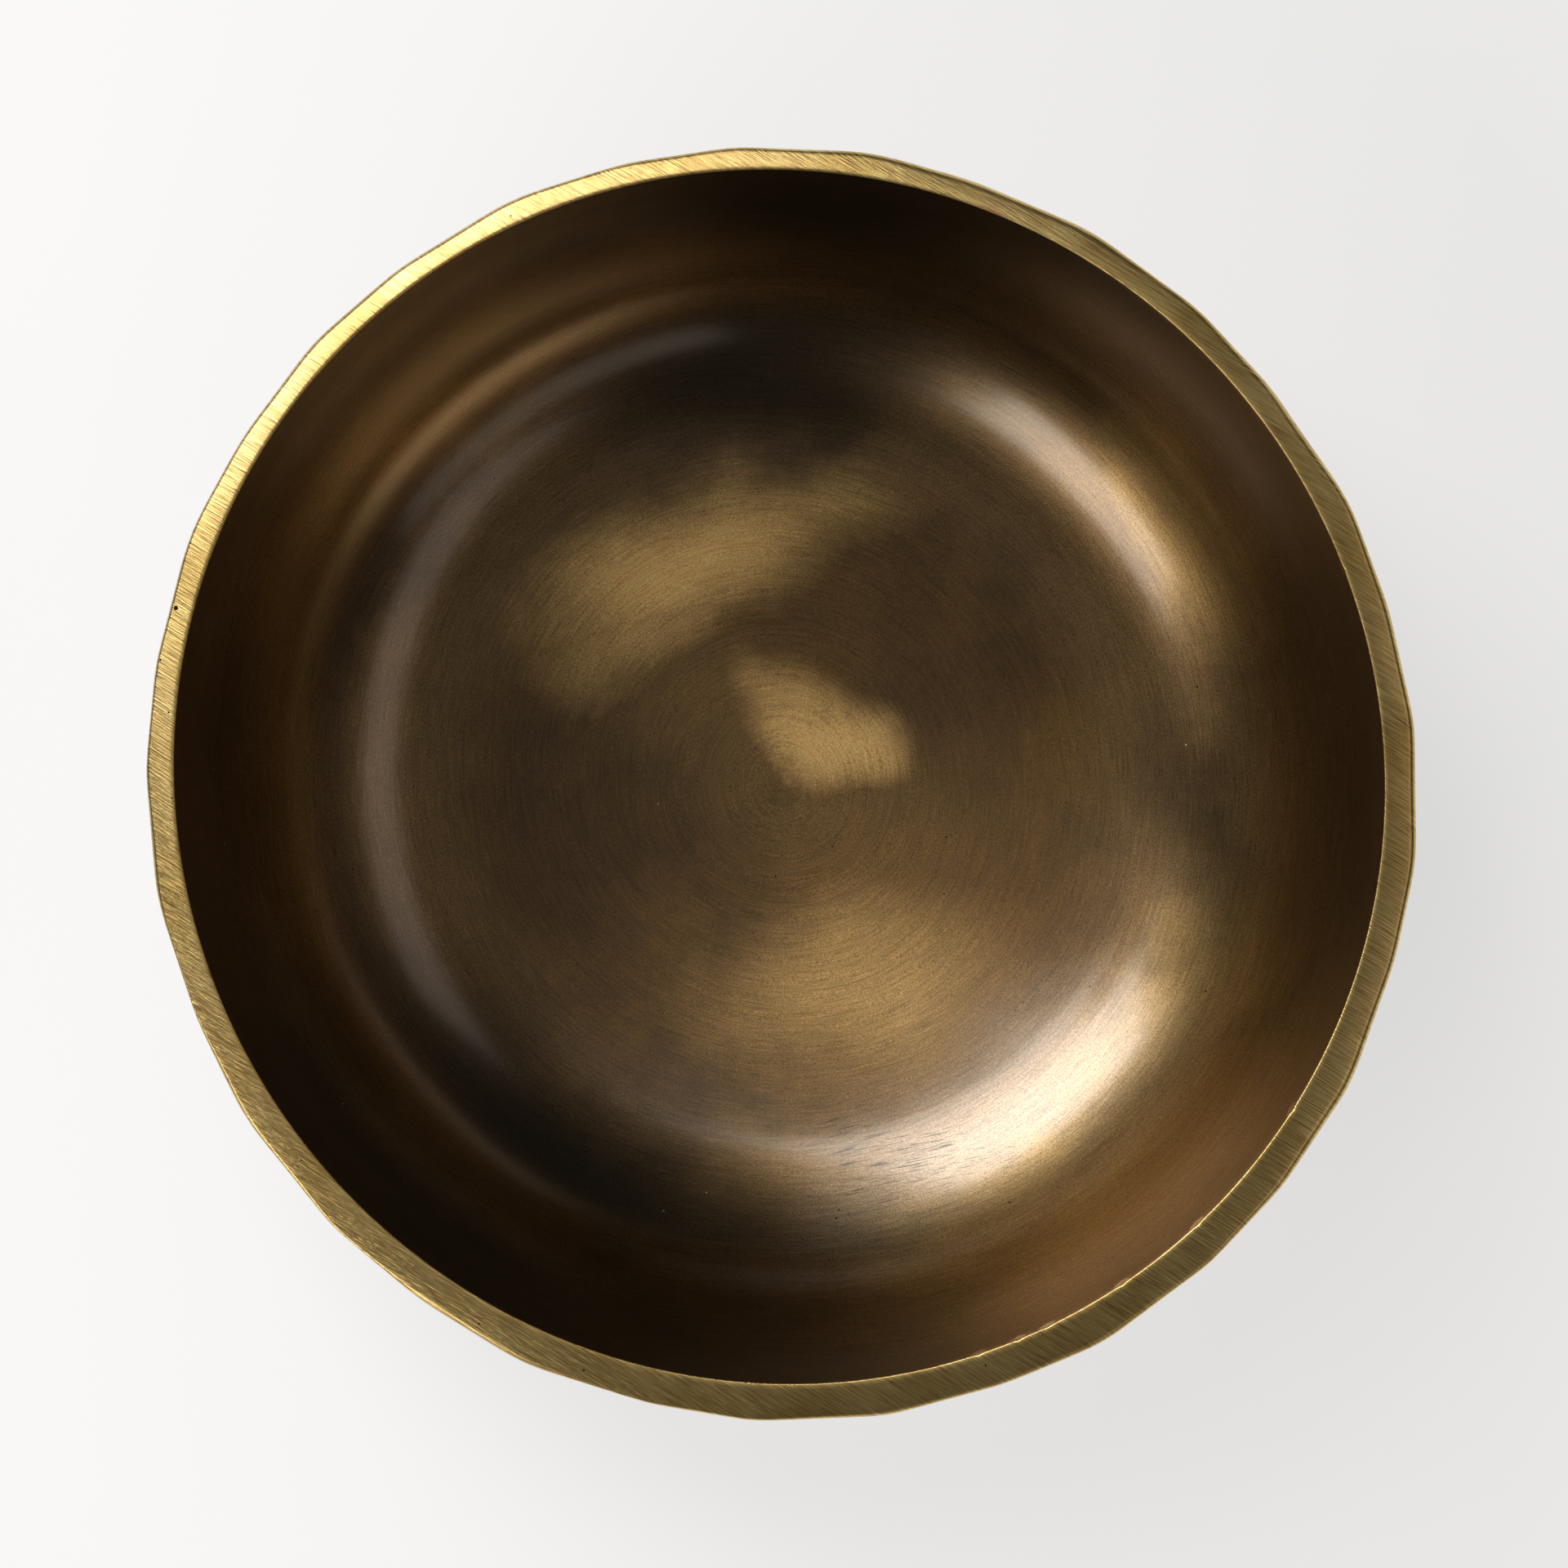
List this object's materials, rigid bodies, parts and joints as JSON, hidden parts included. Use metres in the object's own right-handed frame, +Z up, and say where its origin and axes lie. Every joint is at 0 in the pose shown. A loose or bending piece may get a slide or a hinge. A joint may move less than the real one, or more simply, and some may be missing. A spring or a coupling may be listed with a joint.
{
  "type": "brass urli bowl",
  "caption": "Wide, shallow cast brass bowl with a flat ground rim, hammered outside, a low brazed foot ring and felt pads.",
  "frame": {"origin": "on the bowl's axis, on the surface that the felt pads stand on", "axes": "+Z up through the mouth; the thicker side of the rim is towards -Y"},
  "size_m": [0.2539, 0.2544, 0.08],
  "materials": {
    "cast_brass": "cast, antiqued dark inside, rim ground flat, outside hammered",
    "turned_brass": "turned, antiqued",
    "braze_metal": "as brazed, wiped clean",
    "felt": "pressed wool felt"
  },
  "bodies": {
    "root": {"bowl": "cast_brass", "foot_ring": "turned_brass", "braze_seam": "braze_metal", "felt_pad_1": "felt", "felt_pad_2": "felt", "felt_pad_3": "felt", "felt_pad_4": "felt"}
  },
  "joints": []
}
